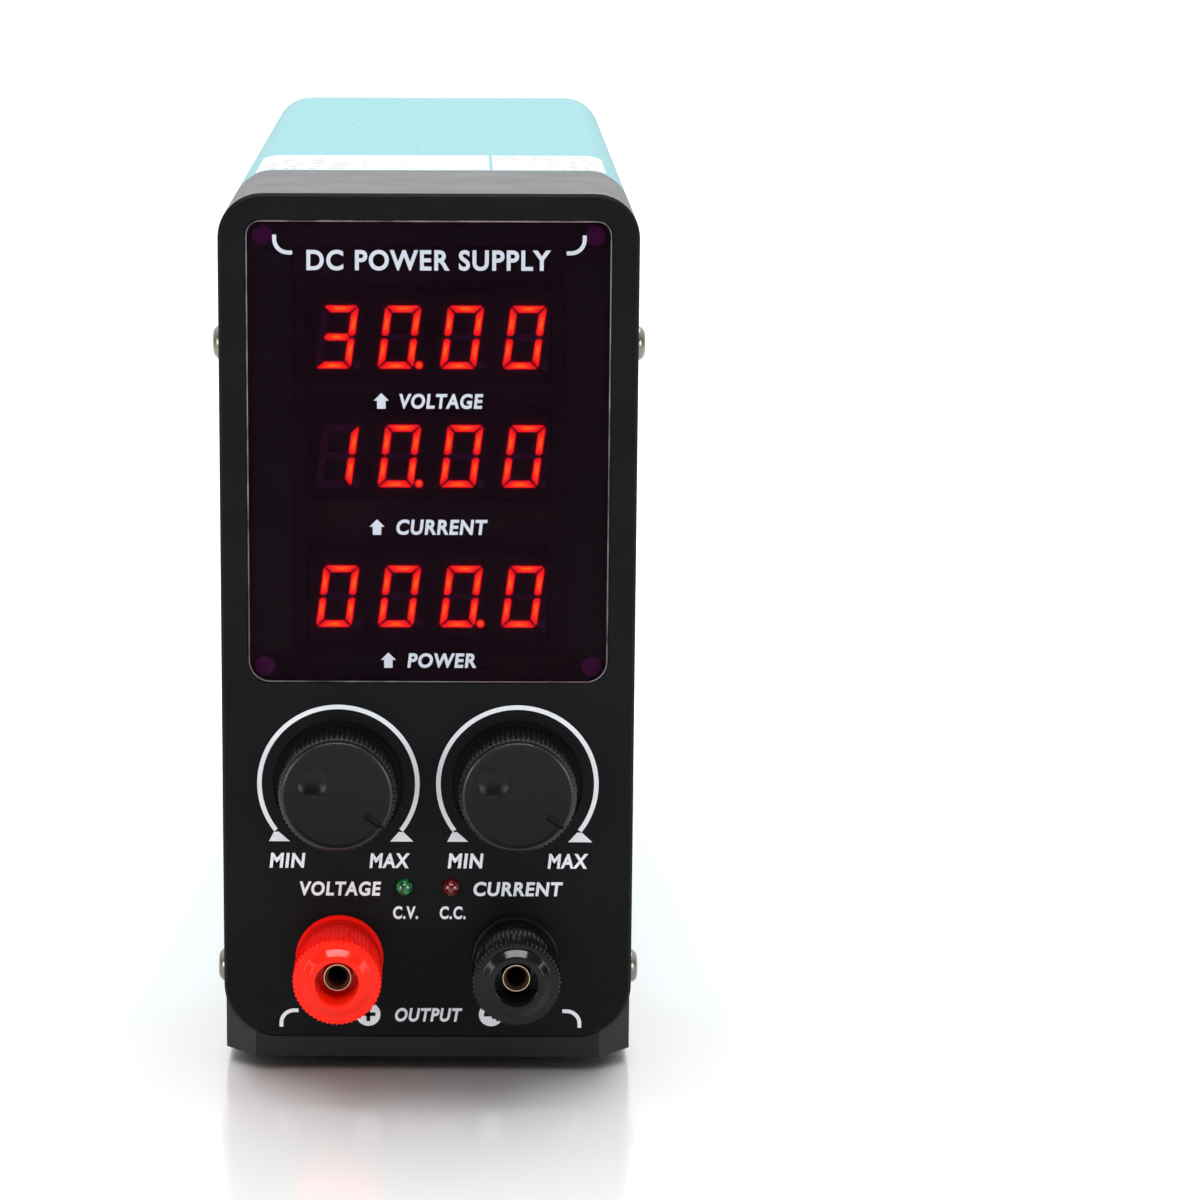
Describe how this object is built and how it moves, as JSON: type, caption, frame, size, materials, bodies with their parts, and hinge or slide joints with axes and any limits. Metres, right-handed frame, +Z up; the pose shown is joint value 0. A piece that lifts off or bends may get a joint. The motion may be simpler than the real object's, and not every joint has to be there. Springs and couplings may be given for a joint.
{
  "type": "bench power supply",
  "caption": "Tall narrow DC bench power supply with a tinted three-row readout, two control knobs, two binding posts, a painted metal cover and a rear fan.",
  "frame": {"origin": "middle of the footprint, on the surface the feet stand on", "axes": "+Z up, -Y towards the user (the front panel), +X to the user's right"},
  "size_m": [0.0886, 0.2784, 0.1842],
  "materials": {
    "bezel_plastic": "fine spark-eroded texture, matte",
    "base_plastic": "matte black",
    "lens_tint": "dark purple tinted, polished",
    "cover_paint": "pale turquoise powder coat, fine orange peel",
    "zinc_steel": "bright zinc-plated sheet",
    "black_steel": "black powder coat",
    "nickel_screw": "nickel plated, satin",
    "foot_rubber": "moulded rubber",
    "label_paper": "white coated paper",
    "circuit_board": "green solder mask",
    "display_face": "black epoxy face",
    "knob_plastic": "fine matte black",
    "red_plastic": "bright red moulding",
    "black_gloss": "polished black moulding",
    "brass": "nickel-brass, turned",
    "copper_wire": "enamelled copper",
    "coil_tape": "yellow coil tape",
    "ferrite": "dark grey ferrite",
    "heatsink_aluminium": "extruded aluminium",
    "can_sleeve": "dark shrink sleeve",
    "device_epoxy": "moulded epoxy",
    "lamp_green": "green diffused LED",
    "lamp_red": "red diffused LED",
    "ribbon_grey": "grey flat cable",
    "wire_red": "red PVC insulation",
    "wire_black": "black PVC insulation",
    "fan_plastic": "glass-filled black plastic",
    "fitting_plastic": "black nylon"
  },
  "bodies": {
    "case": {"front_bezel": "bezel_plastic", "display_lens": "lens_tint", "cover": "cover_paint", "base_tray": "base_plastic", "chassis": "zinc_steel", "rear_panel": "black_steel", "side_screws": "nickel_screw", "rubber_feet": "foot_rubber", "top_labels": "label_paper", "display_board": "circuit_board", "display_board_screws": "nickel_screw", "voltage_display": "display_face", "current_display": "display_face", "power_display": "display_face", "control_board": "circuit_board", "potentiometer_nuts": "nickel_screw", "ribbon_cable": "ribbon_grey", "voltage_potentiometer": "zinc_steel", "current_potentiometer": "zinc_steel", "cv_lamp": "lamp_green", "cc_lamp": "lamp_red", "post_nuts": "nickel_screw", "positive_collar": "red_plastic", "negative_collar": "black_gloss", "positive_stem": "brass", "negative_stem": "brass", "positive_lead": "wire_red", "negative_lead": "wire_black", "main_board": "circuit_board", "board_standoffs": "brass", "board_screws": "nickel_screw", "transformer_core": "ferrite", "transformer_winding": "coil_tape", "bulk_capacitors": "can_sleeve", "output_capacitors": "can_sleeve", "primary_heatsink": "heatsink_aluminium", "output_heatsink": "heatsink_aluminium", "power_transistors": "device_epoxy", "output_rectifiers": "device_epoxy", "choke_core": "ferrite", "choke_winding": "copper_wire", "fan_frame": "fan_plastic", "fan_grille": "nickel_screw", "fan_screws": "nickel_screw", "mains_inlet": "fitting_plastic", "inlet_pins": "nickel_screw", "switch_housing": "fitting_plastic", "selector_housing": "fitting_plastic", "rear_fitting_screws": "nickel_screw"},
    "voltage_control": {"voltage_knob": "knob_plastic", "voltage_shaft": "nickel_screw"},
    "current_control": {"current_knob": "knob_plastic", "current_shaft": "nickel_screw"},
    "positive_clamp": {"positive_clamp_ring": "nickel_screw"},
    "positive_screw_cap": {"positive_cap": "red_plastic"},
    "negative_clamp": {"negative_clamp_ring": "nickel_screw"},
    "negative_screw_cap": {"negative_cap": "black_gloss"},
    "fan": {"fan_rotor": "fan_plastic"},
    "rocker": {"power_rocker": "fitting_plastic"},
    "selector": {"selector_slider": "red_plastic"}
  },
  "joints": [
    {"name": "voltage_turn", "type": "hinge", "parent": "case", "child": "voltage_control", "pos_m": [-0.0185, -0.12375, 0.0621], "axis": [0, -1, 0], "range_deg": [0, 260]},
    {"name": "current_turn", "type": "hinge", "parent": "case", "child": "current_control", "pos_m": [0.0185, -0.12375, 0.0621], "axis": [0, -1, 0], "range_deg": [0, 260]},
    {"name": "positive_travel", "type": "slide", "parent": "case", "child": "positive_clamp", "axis": [0, -1, 0], "range_m": [0, 0.004]},
    {"name": "positive_unscrew", "type": "hinge", "parent": "positive_clamp", "child": "positive_screw_cap", "pos_m": [-0.0183, -0.12875, 0.0253], "axis": [0, -1, 0], "range_deg": [0, 1441]},
    {"name": "negative_travel", "type": "slide", "parent": "case", "child": "negative_clamp", "axis": [0, -1, 0], "range_m": [0, 0.004]},
    {"name": "negative_unscrew", "type": "hinge", "parent": "negative_clamp", "child": "negative_screw_cap", "pos_m": [0.0183, -0.12875, 0.0253], "axis": [0, -1, 0], "range_deg": [0, 1441]},
    {"name": "fan_spin", "type": "hinge", "parent": "case", "child": "fan", "pos_m": [0, 0.12305, 0.134], "axis": [0, 1, 0], "continuous": true},
    {"name": "power_switch", "type": "hinge", "parent": "case", "child": "rocker", "pos_m": [-0.019, 0.13125, 0.086], "axis": [1, 0, 0], "range_deg": [-20, 0]},
    {"name": "voltage_selector", "type": "slide", "parent": "case", "child": "selector", "axis": [0, 0, -1], "range_m": [0, 0.005]}
  ],
  "couplings": [
    {"joint": "positive_unscrew", "follows": "positive_travel", "rad_per_m": 6283.2},
    {"joint": "negative_unscrew", "follows": "negative_travel", "rad_per_m": 6283.2}
  ]
}
